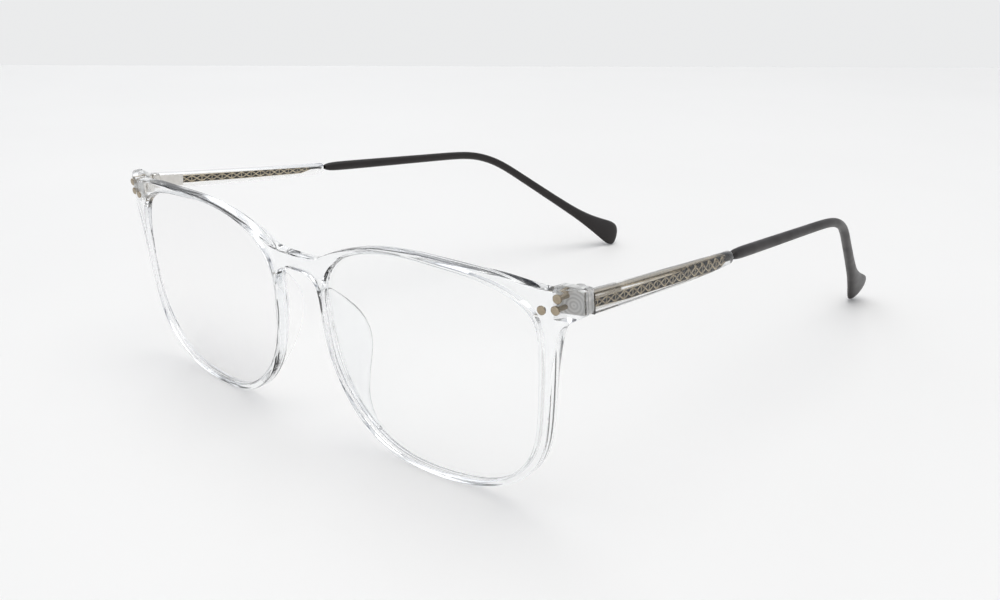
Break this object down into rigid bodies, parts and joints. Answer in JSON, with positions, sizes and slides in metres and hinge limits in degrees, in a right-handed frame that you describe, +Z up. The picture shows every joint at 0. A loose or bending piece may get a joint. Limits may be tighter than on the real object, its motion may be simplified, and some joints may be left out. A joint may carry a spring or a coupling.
{
  "type": "eyeglasses frame",
  "caption": "Clear moulded eyeglasses front with rounded-square lenses, hinged clear-sleeved temples with a patterned metal core, and dark curved tips.",
  "frame": {"origin": "centre of the bounding box in plan, at its base: the glasses stand open on the two rims and the two temple tips", "axes": "+X towards the wearer's left, +Y from the front back to the ear ends, +Z up"},
  "size_m": [0.1334, 0.1594, 0.0432],
  "materials": {
    "clear_plastic": "polished clear acetate",
    "lens_plastic": "polished clear demo lens",
    "sleeve_plastic": "polished clear acetate",
    "tip_plastic": "dark brown-grey, satin",
    "core_metal": "antique bronze with a raised lattice",
    "hinge_metal": "nickel silver",
    "rivet_metal": "nickel silver, domed",
    "screw_metal": "polished"
  },
  "bodies": {
    "front": {"front_frame": "clear_plastic", "nose_pad_left": "clear_plastic", "lens_left": "lens_plastic", "front_hinge_leaf_left": "hinge_metal", "front_rivets_left": "rivet_metal", "hinge_screw_left": "screw_metal", "nose_pad_right": "clear_plastic", "lens_right": "lens_plastic", "front_hinge_leaf_right": "hinge_metal", "front_rivets_right": "rivet_metal", "hinge_screw_right": "screw_metal"},
    "left_temple": {"temple_hinge_leaf_left": "hinge_metal", "temple_sleeve_left": "sleeve_plastic", "temple_core_left": "core_metal", "temple_tip_left": "tip_plastic"},
    "right_temple": {"temple_hinge_leaf_right": "hinge_metal", "temple_sleeve_right": "sleeve_plastic", "temple_core_right": "core_metal", "temple_tip_right": "tip_plastic"}
  },
  "joints": [
    {"name": "left_temple_fold", "type": "hinge", "parent": "front", "child": "left_temple", "pos_m": [0.06279, -0.06981, 0.04016], "axis": [0, 0, 1], "range_deg": [0, 82]},
    {"name": "right_temple_fold", "type": "hinge", "parent": "front", "child": "right_temple", "pos_m": [-0.06279, -0.06981, 0.04016], "axis": [0, 0, -1], "range_deg": [0, 75]}
  ]
}
